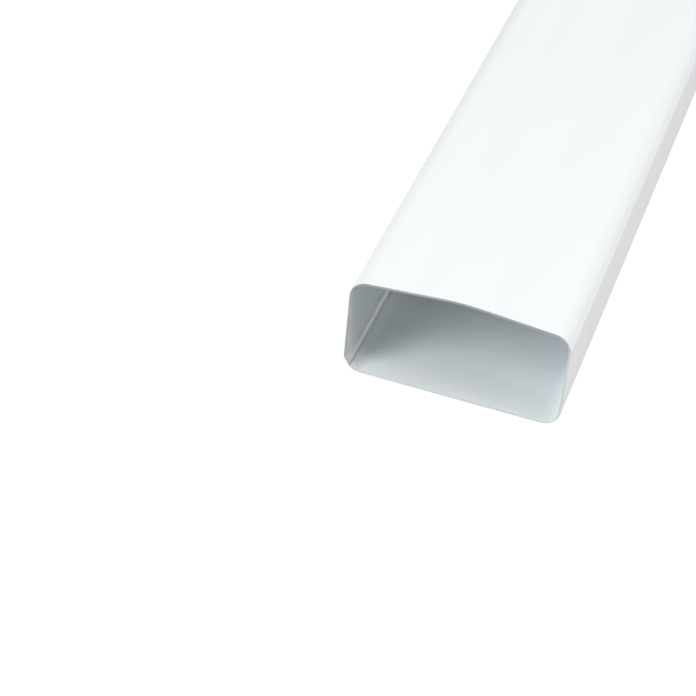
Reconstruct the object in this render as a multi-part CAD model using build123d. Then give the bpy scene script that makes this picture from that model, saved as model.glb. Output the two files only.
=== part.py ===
# Flat ventilation duct that folds flat for storage, stored open with its mouth facing -Y.
# One co-extruded profile: four stiff walls, joined at the corners by soft hinge strips
# that run the whole length. X is across the duct, Y along it and Z up, with the origin
# under the middle of the bottom wall.
from build123d import *
import math
import os

# Driving dimensions, in millimetres and degrees
width = 110.0  # outside, between the side walls
height = 54.0  # outside, of the side walls
length = 1000.0  # as the stock is sold
wall = 1.2  # thickness of the stiff walls
crown = 4.6  # spring of the top wall above the side walls
crown_radius = 120.0  # bend along the middle of the top wall
fold_radius = 9.5  # outside, at the two corners that close when the duct is folded
crease_radius = 9.0  # outside, at the two corners that open flat
crease_kink = 28.0  # sharp bend where such a corner meets its side wall
crease_depth = 7.7  # from the broad wall to that bend
crease_turn = 54.0  # from the broad wall round such a corner to its hinge strip
strip_width = 3.0  # soft hinge strips, measured round the corner
crease_strip = 0.6  # thickness of the strips at the crease corners, flush with the outside
groove_angle = 45.0  # slope of the walls' edges down to such a strip, on the inside

half_width = width / 2
crown_rise = crown / half_width
crown_slope = math.degrees(math.atan(crown_rise))
# A crease corner is an arc, a short straight and the kink, where the side wall starts
crease_tangent = crease_radius * math.tan(math.radians(90 - crease_kink) / 2)
crease_in = crease_depth * math.tan(math.radians(crease_kink))


def around(centre, reach, direction):
    # The point at that reach and direction from a corner's centre
    turn = math.radians(direction)
    return (centre[0] + reach * math.cos(turn), centre[1] + reach * math.sin(turn))


def corner_hinges():
    # Each corner's centre, outside radius, and the direction and thickness of its hinge strip.
    # The fold corners' strips are as thick as the wall.
    fold_x = half_width - fold_radius
    upper_left = (-fold_x, height + fold_radius * (crown_rise - math.hypot(1, crown_rise)))
    lower_right = (fold_x, fold_radius)
    lower_left = (-half_width + crease_in + crease_tangent, crease_radius)

    # The middles of the four strips make a parallelogram, so the duct folds without
    # straining its walls. That places the fourth strip, and its arc meets the top wall.
    fold_reach = fold_radius - wall / 2
    crease_reach = crease_radius - crease_strip / 2
    left_top = around(upper_left, fold_reach, 135.0)
    right_bottom = around(lower_right, fold_reach, -45.0)
    left_bottom = around(lower_left, crease_reach, 270.0 - crease_turn)
    hinge_x = right_bottom[0] + left_top[0] - left_bottom[0]
    hinge_y = right_bottom[1] + left_top[1] - left_bottom[1]
    below_top = height + crown_rise * (half_width - hinge_x) - hinge_y
    across_top = crease_radius - below_top * math.cos(math.radians(crown_slope))
    direction = math.degrees(math.asin(across_top / crease_reach)) - crown_slope
    upper_right = around((hinge_x, hinge_y), -crease_reach, direction)
    return {
        "upper_left": (upper_left, fold_radius, 135.0, wall),
        "lower_right": (lower_right, fold_radius, -45.0, wall),
        "upper_right": (upper_right, crease_radius, direction, crease_strip),
        "lower_left": (lower_left, crease_radius, 270.0 - crease_turn, crease_strip),
    }


def outside_section():
    # Flat bottom, upright sides and a top wall that rises to a bend along its middle.
    # The fold corners are plain arcs, and the crease corners end in a kink.
    kink_sin = math.sin(math.radians(crease_kink))
    kink_cos = math.cos(math.radians(crease_kink))
    arc_x, arc_y = corner_hinges()["upper_right"][0]
    kink_y = arc_y + (crease_radius - (half_width - arc_x) * kink_cos) / kink_sin
    slant = (height - kink_y) / (kink_cos - crown_rise * kink_sin)
    lower_left = (-half_width + crease_in, 0)
    lower_right = (half_width, 0)
    upper_right_kink = (half_width, kink_y)
    upper_right = (half_width - slant * kink_sin, kink_y + slant * kink_cos)
    ridge = (0, height + crown)
    upper_left = (-half_width, height)
    lower_left_kink = (-half_width, crease_depth)
    outline = Polyline(
        lower_left, lower_right, upper_right_kink, upper_right, ridge, upper_left, lower_left_kink, close=True
    )
    section = make_face(outline)
    rounding = {
        lower_left: crease_radius,
        lower_right: fold_radius,
        upper_right: crease_radius,
        ridge: crown_radius,
        upper_left: fold_radius,
    }
    for point, radius in rounding.items():
        corner = section.vertices().sort_by_distance((*point, 0))[0]
        section = fillet(corner, radius)
    return section


def strip_wedge(centre, radius, direction, thickness):
    # The slice of a corner that its hinge strip takes up
    half_angle = math.degrees(strip_width / 2 / (radius - thickness / 2))
    sides = [around(centre, 2 * radius, direction + turn) for turn in (-half_angle, half_angle)]
    return make_face(Polyline(centre, *sides, close=True))


def strip_groove(centre, radius, direction, thickness):
    # The V that thins the edges of the walls down to the strip, open to the inside
    spread = math.tan(math.radians(groove_angle))
    tip = radius - thickness + strip_width / 2 / spread
    deep = tip - radius + 2 * wall
    outward = Vector(1, 0).rotate(Axis.Z, direction)
    across = Vector(0, 1).rotate(Axis.Z, direction)
    base = Vector(*centre) + outward * (tip - deep)
    sides = [base + across * deep * spread, base - across * deep * spread]
    return make_face(Polyline(Vector(*centre) + outward * tip, *sides, close=True))


def along_duct(section):
    # A section drawn with X across and Y up becomes a length of duct
    return extrude(Plane.XZ * section, length / 2, both=True)


def main():
    outside = outside_section()
    stiff = outside - offset(outside, -wall, kind=Kind.INTERSECTION)

    pieces = {}
    for name, hinge in corner_hinges().items():
        thickness = hinge[-1]
        behind_strip = offset(outside, -thickness, kind=Kind.INTERSECTION)
        wedge = strip_wedge(*hinge)
        pieces[f"hinge_strip_{name}"] = (outside - behind_strip) & wedge
        stiff -= wedge
        if thickness < wall:
            stiff -= strip_groove(*hinge) & behind_strip
    walls = stiff.faces()
    pieces["bottom_wall"] = walls.sort_by(Axis.Y)[0]
    pieces["top_wall"] = walls.sort_by(Axis.Y)[-1]
    pieces["left_wall"] = walls.sort_by(Axis.X)[0]
    pieces["right_wall"] = walls.sort_by(Axis.X)[-1]

    os.makedirs("parts", exist_ok=True)
    for name, section in pieces.items():
        export_step(along_duct(section), f"parts/{name}.step")


main()
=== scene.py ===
import math

import bpy
from mathutils import Matrix, Vector


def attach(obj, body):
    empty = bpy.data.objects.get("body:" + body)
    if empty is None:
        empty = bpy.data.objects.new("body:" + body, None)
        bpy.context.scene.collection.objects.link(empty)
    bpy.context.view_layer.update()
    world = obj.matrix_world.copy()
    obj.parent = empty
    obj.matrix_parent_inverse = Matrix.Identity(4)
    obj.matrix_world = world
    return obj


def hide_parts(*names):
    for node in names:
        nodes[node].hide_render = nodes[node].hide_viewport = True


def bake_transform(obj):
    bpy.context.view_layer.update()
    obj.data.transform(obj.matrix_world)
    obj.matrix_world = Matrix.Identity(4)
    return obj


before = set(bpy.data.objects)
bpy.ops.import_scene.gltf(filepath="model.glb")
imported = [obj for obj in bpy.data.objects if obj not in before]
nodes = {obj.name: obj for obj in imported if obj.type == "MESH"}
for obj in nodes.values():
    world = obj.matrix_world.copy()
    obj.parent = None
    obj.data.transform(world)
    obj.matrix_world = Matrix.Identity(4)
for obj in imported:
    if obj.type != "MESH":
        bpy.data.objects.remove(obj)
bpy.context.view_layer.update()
scene = bpy.context.scene
print("frame loaded:", ", ".join(sorted(nodes)))


# shader helpers

def addNode(tree, kind, inputs=None, **settings):
    node = tree.nodes.new("ShaderNode" + kind)
    for name, value in settings.items():
        setattr(node, name, value)
    for name, value in (inputs or {}).items():
        if isinstance(value, bpy.types.NodeSocket):
            tree.links.new(value, node.inputs[name])
        else:
            node.inputs[name].default_value = value
    return node


def calculate(tree, operation, first, second=0.0, third=0.0):
    return addNode(tree, "Math", {0: first, 1: second, 2: third}, operation=operation).outputs[0]


def calculateVector(tree, operation, first, second=(0.0, 0.0, 0.0)):
    return addNode(tree, "VectorMath", {0: first, 1: second}, operation=operation).outputs["Vector"]


def fade(tree, value, low, high, lowOut=0.0, highOut=1.0):
    ranges = {"Value": value, "From Min": low, "From Max": high, "To Min": lowOut, "To Max": highOut}
    return addNode(tree, "MapRange", ranges, interpolation_type="SMOOTHSTEP").outputs["Result"]


def mixColours(tree, factor, first, second):
    return addNode(tree, "Mix", {0: factor, 6: first, 7: second}, data_type="RGBA").outputs[2]


def addNoise(tree, position, scale, detail):
    return addNode(tree, "TexNoise", {"Vector": position, "Scale": scale, "Detail": detail}).outputs[0]


def layPattern(tree, position, turn, stretch):
    laid = addNode(tree, "Mapping", {"Vector": position, "Rotation": turn, "Scale": stretch})
    return laid.outputs[0]


def shaderGroup(name, inputs, outputs):
    tree = bpy.data.node_groups.new(name, "ShaderNodeTree")
    for socketName, kind in inputs.items():
        tree.interface.new_socket(socketName, in_out="INPUT", socket_type="NodeSocket" + kind)
    for socketName, kind in outputs.items():
        tree.interface.new_socket(socketName, in_out="OUTPUT", socket_type="NodeSocket" + kind)
    return tree, tree.nodes.new("NodeGroupInput"), tree.nodes.new("NodeGroupOutput")


def placeGroup(tree, group, inputs):
    return addNode(tree, "Group", inputs, node_tree=group)


# lines that the die leaves along the length, fine ones and broad bands
dieLineStyle = {"drawnOut": (1.0, 0.004, 1.0), "lineDetail": 3.0, "bandDetail": 1.0, "bandsPerLine": 0.07}


def makeDieLines():
    tree, given, out = shaderGroup(
        "dieLines", {"Position": "Vector", "Lines per Metre": "Float"}, {"Lines": "Float", "Bands": "Float"}
    )
    linesPerMetre = given.outputs["Lines per Metre"]
    bandsPerMetre = calculate(tree, "MULTIPLY", linesPerMetre, dieLineStyle["bandsPerLine"])
    drawn = calculateVector(tree, "MULTIPLY", given.outputs["Position"], dieLineStyle["drawnOut"])
    lines = addNoise(tree, drawn, linesPerMetre, dieLineStyle["lineDetail"])
    bands = addNoise(tree, drawn, bandsPerMetre, dieLineStyle["bandDetail"])
    tree.links.new(lines, out.inputs["Lines"])
    tree.links.new(bands, out.inputs["Bands"])
    return tree


# sparse hairline marks from handling and stacking
handlingMarkStyle = {
    "sets": ((0.35, 34.0), (-0.9, 27.0)),  # turn and scale of each set of marks
    "tilt": 0.2,
    "stretch": (5.0, 1.0, 5.0),
    "waveDetail": 1.5,
    "halfWidth": 0.006,
    "patchScale": 0.9,  # of the set's own scale
    "patchDetail": 2.0,
    "patchEdge": (0.58, 0.7),
}


def makeHandlingMarks():
    style = handlingMarkStyle
    tree, given, out = shaderGroup(
        "handlingMarks", {"Position": "Vector", "Cover": "Float"}, {"Marks": "Float"}
    )
    position = given.outputs["Position"]
    marks = None
    for turn, scale in style["sets"]:
        laid = layPattern(tree, position, (turn, style["tilt"], turn), style["stretch"])
        waves = addNoise(tree, laid, scale, style["waveDetail"])
        offset = calculate(tree, "ABSOLUTE", calculate(tree, "SUBTRACT", waves, 0.5))
        hairline = fade(tree, offset, style["halfWidth"], 0.0)
        patches = addNoise(tree, position, scale * style["patchScale"], style["patchDetail"])
        kept = calculate(tree, "MULTIPLY", hairline, fade(tree, patches, *style["patchEdge"]))
        marks = kept if marks is None else calculate(tree, "MAXIMUM", marks, kept)
    covered = calculate(tree, "MULTIPLY", marks, given.outputs["Cover"])
    tree.links.new(covered, out.inputs["Marks"])
    return tree


# the two ends are sawn, which leaves short ridges across the wall, and eased on the inside; the Cut mask
# also darkens the ends, partly with painted shade
sawnEndStyle = {
    "facing": (0.8, 0.95),  # how squarely a sawn face looks along the duct
    "ridgeTurn": (0.0, 0.5, 0.0),
    "ridgeStretch": (1.0, 0.0, 0.08),
    "ridgesPerMetre": 2600.0,
    "ridgeDetail": 2.0,
}
mouthOutline = {"centre": (0.0, 0.0, 0.027), "halfWidth": 0.055, "halfHeight": 0.027, "corner": 0.0095}


def makeSawnEnds():
    style = sawnEndStyle
    tree, given, out = shaderGroup(
        "sawnEnds",
        {"Position": "Vector", "Normal": "Vector"},
        {"Cut": "Float", "Ridges": "Float", "Outward": "Float"},
    )
    position = given.outputs["Position"]
    facing = addNode(tree, "SeparateXYZ", {0: given.outputs["Normal"]}).outputs["Y"]
    cut = fade(tree, calculate(tree, "ABSOLUTE", facing), *style["facing"])
    laid = layPattern(tree, position, style["ridgeTurn"], style["ridgeStretch"])
    ridges = addNoise(tree, laid, style["ridgesPerMetre"], style["ridgeDetail"])

    # how far a point lies out past the inner ends of the rounded corners
    corner = mouthOutline["corner"]
    straight = (mouthOutline["halfWidth"] - corner, 0.0, mouthOutline["halfHeight"] - corner)
    across = calculateVector(tree, "SUBTRACT", position, mouthOutline["centre"])
    across = calculateVector(tree, "ABSOLUTE", across)
    beyond = calculateVector(tree, "SUBTRACT", across, straight)
    beyond = calculateVector(tree, "MAXIMUM", beyond)
    level = calculateVector(tree, "MULTIPLY", beyond, (1.0, 0.0, 1.0))
    outward = addNode(tree, "VectorMath", {0: level}, operation="LENGTH").outputs["Value"]
    tree.links.new(cut, out.inputs["Cut"])
    tree.links.new(ridges, out.inputs["Ridges"])
    tree.links.new(outward, out.inputs["Outward"])
    return tree


dieLines = makeDieLines()
handlingMarks = makeHandlingMarks()
sawnEnds = makeSawnEnds()
print("shader groups built")


# finishes

wallFinish = {
    "colour": (0.858, 0.9, 0.925, 1.0),
    "bandColour": (0.842, 0.886, 0.912, 1.0),
    "markColour": (0.77, 0.79, 0.8, 1.0),
    # sawn ends: a duller grey of their own, darkened further as painted shade on the rim
    "cutGreyAndShade": (0.56, 0.606, 0.63, 1.0),
    "linesPerMetre": 520.0,
    "lineDepth": 0.000012,
    "markCover": 0.1,
    "roughness": (0.34, 0.46),
    "cutRoughness": 0.7,
    "glow": 0.0,
    "glowReach": (0.0, 0.0, 0.0),
}
hingeFinish = {
    "colour": (0.87, 0.91, 0.932, 1.0),
    "bandColour": (0.856, 0.898, 0.922, 1.0),
    "markColour": (0.81, 0.83, 0.84, 1.0),
    # sawn ends: a duller grey of their own, darkened further as painted shade on the rim
    "cutGreyAndShade": (0.57, 0.616, 0.64, 1.0),
    "linesPerMetre": 1400.0,
    "lineDepth": 0.000008,
    "markCover": 0.1,
    "roughness": (0.26, 0.36),
    "cutRoughness": 0.6,
    "glow": 0.0,
    "glowReach": (0.0, 0.0, 0.0),
}
# the thin strip lets some of the light outside through
thinHingeFinish = {
    **hingeFinish,
    "colour": (0.8, 0.985, 0.999, 1.0),
    "bandColour": (0.79, 0.975, 0.99, 1.0),
    "glow": 1.0,
    "glowReach": (0.0065, 0.0065, 0.0065),
}
# what all three share
pvcSurface = {
    "ior": 1.53,
    "noiseSpan": (0.3, 0.7),  # the part of a noise's range that is used
    "markRoughness": 0.25,
    "ridgeHeight": 2.5,  # in depths of a die line
    "cutSlope": 0.6,  # of the eased inner edge
}


def makePvc(name, finish):
    material = bpy.data.materials.new(name)
    material.use_nodes = True
    tree = material.node_tree
    shader = tree.nodes["Principled BSDF"]
    coordinates = addNode(tree, "TexCoord")
    position, normal = coordinates.outputs["Object"], coordinates.outputs["Normal"]
    dies = placeGroup(tree, dieLines, {"Position": position, "Lines per Metre": finish["linesPerMetre"]})
    handling = placeGroup(tree, handlingMarks, {"Position": position, "Cover": finish["markCover"]})
    ends = placeGroup(tree, sawnEnds, {"Position": position, "Normal": normal})
    lines, marks, cut = dies.outputs["Lines"], handling.outputs["Marks"], ends.outputs["Cut"]

    bands = fade(tree, dies.outputs["Bands"], *pvcSurface["noiseSpan"])
    colour = mixColours(tree, bands, finish["colour"], finish["bandColour"])
    colour = mixColours(tree, marks, colour, finish["markColour"])
    # the sawn ends mix in a darker grey: partly the cut's own duller tone, partly painted shade on the rim
    colour = mixColours(tree, cut, colour, finish["cutGreyAndShade"])
    tree.links.new(colour, shader.inputs["Base Color"])

    satin = fade(tree, lines, *pvcSurface["noiseSpan"], *finish["roughness"])
    marked = calculate(tree, "MULTIPLY", marks, pvcSurface["markRoughness"])
    satin = calculate(tree, "ADD", satin, marked)
    sawn = calculate(tree, "MULTIPLY", cut, finish["cutRoughness"])
    tree.links.new(calculate(tree, "MAXIMUM", satin, sawn), shader.inputs["Roughness"])

    easing = pvcSurface["cutSlope"] / finish["lineDepth"]
    eased = calculate(tree, "MULTIPLY", ends.outputs["Outward"], easing)
    rim = calculate(tree, "MULTIPLY_ADD", ends.outputs["Ridges"], pvcSurface["ridgeHeight"], eased)
    height = calculate(tree, "MULTIPLY_ADD", rim, cut, lines)
    height = calculate(tree, "SUBTRACT", height, marks)
    bump = addNode(tree, "Bump", {"Height": height, "Distance": finish["lineDepth"], "Strength": 1.0})
    tree.links.new(bump.outputs["Normal"], shader.inputs["Normal"])

    shader.inputs["IOR"].default_value = pvcSurface["ior"]
    shader.inputs["Subsurface Weight"].default_value = finish["glow"]
    shader.inputs["Subsurface Radius"].default_value = finish["glowReach"]
    shader.inputs["Subsurface Scale"].default_value = 1.0
    return material


whitePvc = makePvc("white_pvc", wallFinish)
softPvc = makePvc("soft_hinge_pvc", hingeFinish)
thinPvc = makePvc("thin_hinge_pvc", thinHingeFinish)
for name in ("bottom_wall", "left_wall", "right_wall", "top_wall"):
    nodes[name].data.materials.clear()
    nodes[name].data.materials.append(whitePvc)
print("walls finished")


# soft hinges: ribbons in the corners, where the real duct bends when it folds

hingeRibbon = {
    "length": 1.0,
    "width": 0.003,  # measured round the corner
    "steps": 14,
    "smoothAngle": 6.0,
    "mergeWithin": 0.000001,
}
# corner centre (x, z), outside radius, direction from the centre, thickness and
# how much thinner the middle is on the inside
hingeCorners = {
    "softHingeLowerLeft": {
        "centre": (-0.04549809, 0.009), "radius": 0.009, "direction": 216.0,
        "thickness": 0.0006, "neck": 0.0001, "pvc": thinPvc,
        "from": "bottom_wall", "to": "left_wall", "way": -1, "node": "hinge_strip_lower_left",
    },
    "softHingeLowerRight": {
        "centre": (0.0455, 0.0095), "radius": 0.0095, "direction": -45.0,
        "thickness": 0.0012, "neck": 0.0, "pvc": softPvc,
        "from": "bottom_wall", "to": "right_wall", "way": 1, "node": "hinge_strip_lower_right",
    },
    "softHingeUpperLeft": {
        "centre": (-0.0455, 0.04526138), "radius": 0.0095, "direction": 135.0,
        "thickness": 0.0012, "neck": 0.0, "pvc": softPvc,
        "from": "left_wall", "to": "top_wall", "way": -1, "node": "hinge_strip_upper_left",
    },
}


def cornerPoint(centre, radius, angle):
    return Vector((centre[0] + radius * math.cos(angle), 0, centre[1] + radius * math.sin(angle)))


def turnFrom(point, corner, angle):
    turned = math.atan2(point.z - corner["centre"][1], point.x - corner["centre"][0]) - angle
    return math.atan2(math.sin(turned), math.cos(turned))


def halfAngleOf(corner):
    return hingeRibbon["width"] / 2 / (corner["radius"] - corner["thickness"] / 2)


def selectPoints(mesh, wanted):
    bpy.ops.mesh.select_all(action="DESELECT")
    bpy.ops.object.mode_set(mode="OBJECT")
    for vertex in mesh.vertices:
        vertex.select = wanted(vertex.co)
    bpy.ops.object.mode_set(mode="EDIT")


def sweepRibbon(name, corner, startAngle, sweep, steps):
    thick, centre = corner["thickness"], corner["centre"]
    bpy.ops.object.select_all(action="DESELECT")
    middle = cornerPoint(centre, corner["radius"] - thick / 2, startAngle)
    bpy.ops.mesh.primitive_plane_add(size=1, location=middle, rotation=(0, -startAngle, 0))
    ribbon = bpy.context.active_object
    ribbon.name = name
    ribbon.data.name = name
    ribbon.scale = (thick, hingeRibbon["length"], 1)
    bpy.ops.object.transform_apply(location=True, rotation=True, scale=True)
    bpy.ops.object.mode_set(mode="EDIT")
    bpy.ops.mesh.select_mode(type="VERT")
    bpy.ops.mesh.select_all(action="SELECT")
    # with no window the spin turns the other way round its axis
    bpy.ops.mesh.spin(steps=steps, angle=sweep, center=(centre[0], 0, centre[1]), axis=(0, 1, 0))
    return ribbon


def neckRibbon(ribbon, corner, direction, halfAngle):
    # the inside of each step moves out towards the middle of the ribbon
    centre, steps = corner["centre"], hingeRibbon["steps"]
    insideReach = corner["radius"] - corner["thickness"] * 0.75
    slack = 0.2 * halfAngle / steps
    for step in range(1, steps):
        share = 2 * step / steps - 1
        angle = direction + share * halfAngle

        def onStep(point):
            reach = math.hypot(point.x - centre[0], point.z - centre[1])
            return reach < insideReach and abs(turnFrom(point, corner, angle)) < slack

        selectPoints(ribbon.data, onStep)
        outward = Vector((math.cos(angle), 0, math.sin(angle)))
        bpy.ops.transform.translate(value=outward * corner["neck"] * (1 - share * share) ** 0.5)


def closeRibbon(ribbon, pvc):
    bpy.ops.mesh.select_all(action="SELECT")
    bpy.ops.mesh.remove_doubles(threshold=hingeRibbon["mergeWithin"])
    bpy.ops.mesh.normals_make_consistent(inside=False)
    bpy.ops.object.mode_set(mode="OBJECT")
    bpy.ops.object.shade_smooth_by_angle(angle=math.radians(hingeRibbon["smoothAngle"]))
    ribbon.data.materials.append(pvc)


for name, corner in hingeCorners.items():
    direction, halfAngle = math.radians(corner["direction"]), halfAngleOf(corner)
    ribbon = sweepRibbon(name, corner, direction - halfAngle, 2 * halfAngle, hingeRibbon["steps"])
    if corner["neck"]:
        neckRibbon(ribbon, corner, direction, halfAngle)
    closeRibbon(ribbon, corner["pvc"])
    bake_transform(ribbon)
    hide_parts(corner["node"])
    print(name, "bends between", corner["from"], "and", corner["to"])


# the upper right corner is two half ribbons that turn on each other at their round edges
openCorner = {
    "centre": (0.04549662, 0.04576341), "radius": 0.009, "direction": 35.9835, "thickness": 0.0006,
    "roundShare": 0.4999,  # of the thickness
    "roundSteps": 5,
}


def makeHalfHinge(name, wallName, way):
    direction, halfAngle = math.radians(openCorner["direction"]), halfAngleOf(openCorner)
    thick = openCorner["thickness"]
    low = direction if way > 0 else direction - halfAngle
    ribbon = sweepRibbon(name, openCorner, low, halfAngle, hingeRibbon["steps"] // 2)

    # the meeting edge runs past the hinge line by half the thickness and is rounded
    slack = 0.1 * halfAngle / hingeRibbon["steps"]
    selectPoints(ribbon.data, lambda point: abs(turnFrom(point, openCorner, direction)) < slack)
    bpy.ops.mesh.select_mode(type="FACE")
    bpy.ops.mesh.extrude_region_move()
    onwards = Vector((math.sin(direction), 0, -math.cos(direction))) * way
    bpy.ops.transform.translate(value=onwards * thick / 2)
    bpy.ops.mesh.select_mode(type="EDGE")
    bpy.ops.object.mode_set(mode="OBJECT")
    pin = cornerPoint(openCorner["centre"], openCorner["radius"] - thick / 2, direction)
    tip = pin + onwards * thick / 2
    for edge in ribbon.data.edges:
        ends = [ribbon.data.vertices[i].co for i in edge.vertices]
        atTip = all(abs((end - tip).dot(onwards)) < hingeRibbon["mergeWithin"] for end in ends)
        edge.select = atTip and abs(ends[0].y - ends[1].y) > hingeRibbon["length"] / 2
    bpy.ops.object.mode_set(mode="EDIT")
    rounding = thick * openCorner["roundShare"]
    bpy.ops.mesh.bevel(offset=rounding, segments=openCorner["roundSteps"], affect="EDGES")
    closeRibbon(ribbon, softPvc)
    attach(ribbon, wallName)
    return ribbon


upperHalf = makeHalfHinge("softHingeUpperRightTop", "top_wall", 1)
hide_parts("hinge_strip_upper_right")
makeHalfHinge("softHingeUpperRightSide", "right_wall", -1)
print("upper right hinge made in two halves")


# studio

floorSheet = {
    "size": 30.0,
    "below": 0.0002,
    "colour": (0.25, 0.25, 0.25, 1.0),
    "seenColour": (0.14, 0.14, 0.14, 1.0),  # takes the shadow
    "seenGlow": 0.91,
}
surround = {"light": 0.05, "background": 1.0}


# true for what the camera sees, also in a reflection or through something clear
def addSeenRays(tree):
    rays = addNode(tree, "LightPath").outputs
    seen = calculate(tree, "MAXIMUM", rays["Is Camera Ray"], rays["Is Glossy Ray"])
    return calculate(tree, "MAXIMUM", seen, rays["Is Transmission Ray"])


def makeFloor():
    bpy.ops.object.select_all(action="DESELECT")
    bpy.ops.mesh.primitive_plane_add(size=floorSheet["size"], location=(0, 0, -floorSheet["below"]))
    floor = bpy.context.active_object
    floor.name = "studioFloor"
    bpy.ops.object.transform_apply(location=True)
    material = bpy.data.materials.new("studio_floor")
    material.use_nodes = True
    tree = material.node_tree
    tree.nodes.clear()
    seen = addSeenRays(tree)
    matte = addNode(tree, "BsdfDiffuse", {"Color": floorSheet["colour"]})
    shadowed = addNode(tree, "BsdfDiffuse", {"Color": floorSheet["seenColour"]})
    glow = addNode(tree, "Emission", {"Strength": floorSheet["seenGlow"]})
    bright = addNode(tree, "AddShader", {0: shadowed.outputs[0], 1: glow.outputs[0]})
    mixed = addNode(tree, "MixShader", {0: seen, 1: matte.outputs[0], 2: bright.outputs[0]})
    addNode(tree, "OutputMaterial", {"Surface": mixed.outputs[0]})
    floor.data.materials.append(material)


def makeSurround():
    world = bpy.data.worlds.new("studioSurround")
    scene.world = world
    world.use_nodes = True
    tree = world.node_tree
    tree.nodes.clear()
    strengths = {"Value": addSeenRays(tree), "To Min": surround["light"], "To Max": surround["background"]}
    strength = addNode(tree, "MapRange", strengths).outputs["Result"]
    background = addNode(tree, "Background", {"Color": (1, 1, 1, 1), "Strength": strength})
    addNode(tree, "OutputWorld", {"Surface": background.outputs[0]})


# square softboxes on a dome over the mouth: degrees round to the left of the front and up, and watts
softboxes = {"aim": (0.0, -0.45, 0.03), "distance": 2.5, "size": 0.9, "colour": (1.03, 1.004, 0.972)}
fillColour = {"colour": (1.02, 1.025, 1.02)}  # those that light the inside are plainer white
rearPlace = {"aim": (0.0, 0.45, 0.03), "distance": 0.9, "size": 0.2}  # a small one close to the other end
studioLights = {
    "rightSoftbox": {"round": -90.0, "high": 30.0, "watts": 18.6},
    "highRightSoftbox": {"round": -110.0, "high": 65.0, "watts": 23.0},
    "overheadSoftbox": {"round": -60.0, "high": 68.0, "watts": 11.6},
    "frontRightSoftbox": {"round": -35.0, "high": 25.0, "watts": 5.8},
    "lowFrontSoftbox": {"round": 30.0, "high": 12.0, "watts": 15.6, **fillColour},
    "lowLeftSoftbox": {"round": 45.0, "high": 12.0, "watts": 28.3, **fillColour},
    "highLeftSoftbox": {"round": 40.0, "high": 45.0, "watts": 16.8, **fillColour},
    "rearSoftbox": {"round": 165.0, "high": 7.0, "watts": 3.2, **rearPlace},
}


def makeLights():
    for name, light in studioLights.items():
        softbox = {**softboxes, **light}
        turn, rise = math.radians(softbox["round"]), math.radians(softbox["high"])
        away = Vector(
            (-math.sin(turn) * math.cos(rise), -math.cos(turn) * math.cos(rise), math.sin(rise))
        )
        place = Vector(softbox["aim"]) + away * softbox["distance"]
        bpy.ops.object.light_add(type="AREA", location=place)
        lamp = bpy.context.active_object
        lamp.name = name
        lamp.data.shape = "SQUARE"
        lamp.data.size = softbox["size"]
        lamp.data.energy = softbox["watts"]
        lamp.data.color = softbox["colour"]
        lamp.rotation_euler = away.to_track_quat("Z", "Y").to_euler()


photoCamera = {
    "place": (0.16848, -1.30247, 0.68755),
    "azimuth": 0.2696,  # turned left from the duct's length
    "fall": 0.6808,  # looking down
    "roll": 0.0964,
    "lens": 113.694,
    "sensor": 36.0,
    "clip": (0.01, 100.0),
}


def makeCamera():
    azimuth, fall, roll = photoCamera["azimuth"], photoCamera["fall"], photoCamera["roll"]
    ahead = Vector(
        (-math.sin(azimuth) * math.cos(fall), math.cos(azimuth) * math.cos(fall), -math.sin(fall))
    )
    level = ahead.cross(Vector((0, 0, 1))).normalized()
    upright = level.cross(ahead)
    right = math.cos(roll) * level + math.sin(roll) * upright
    up = math.cos(roll) * upright - math.sin(roll) * level
    bpy.ops.object.camera_add(location=photoCamera["place"])
    camera = bpy.context.active_object
    camera.name = "photoCamera"
    camera.data.lens = photoCamera["lens"]
    camera.data.sensor_width = photoCamera["sensor"]
    camera.data.clip_start, camera.data.clip_end = photoCamera["clip"]
    turned = Matrix((right, up, -ahead)).transposed().to_4x4()
    camera.matrix_world = Matrix.Translation(photoCamera["place"]) @ turned
    scene.camera = camera


makeFloor()
makeSurround()
makeLights()
makeCamera()
scene.view_settings.view_transform = "Standard"
print("studio set")
